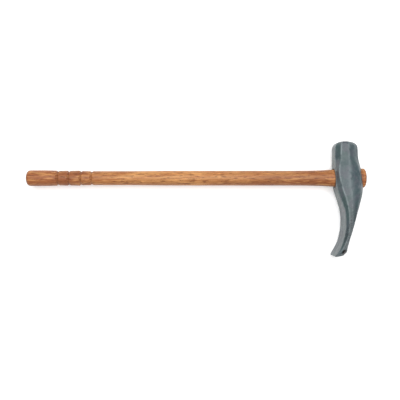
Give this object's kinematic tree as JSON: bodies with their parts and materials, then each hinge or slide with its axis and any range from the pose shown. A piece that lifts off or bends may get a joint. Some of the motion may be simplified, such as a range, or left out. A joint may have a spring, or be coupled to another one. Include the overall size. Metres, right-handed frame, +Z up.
{
  "type": "chipping hammer",
  "caption": "Long-handled chipping hammer: forged head with a domed poll and a swept duck-billed blade, wedged on a turned hardwood handle with a grooved grip",
  "frame": {"origin": "middle of the bounding box on the plane that the hammer lies on, on its cheek", "axes": "+X runs along the handle from the grip to the head, +Y from the blade to the poll, +Z is up, away from the surface it lies on"},
  "size_m": [0.6, 0.2028, 0.05],
  "materials": {
    "head_enamel": "glossy blue-grey enamel over forged steel, softly uneven, worn dark at the edges and tip",
    "handle_wood": "orange-brown tropical hardwood with long grain and short dark pores under clear varnish",
    "wedge_wood": "pale dry hardwood, sawn and driven, unvarnished",
    "wedge_steel": "bare mild steel, hammered flush"
  },
  "bodies": {
    "root": {"hammer_head": "head_enamel", "handle": "handle_wood", "wood_wedge": "wedge_wood", "steel_wedge_upper": "wedge_steel", "steel_wedge_lower": "wedge_steel"}
  },
  "joints": []
}
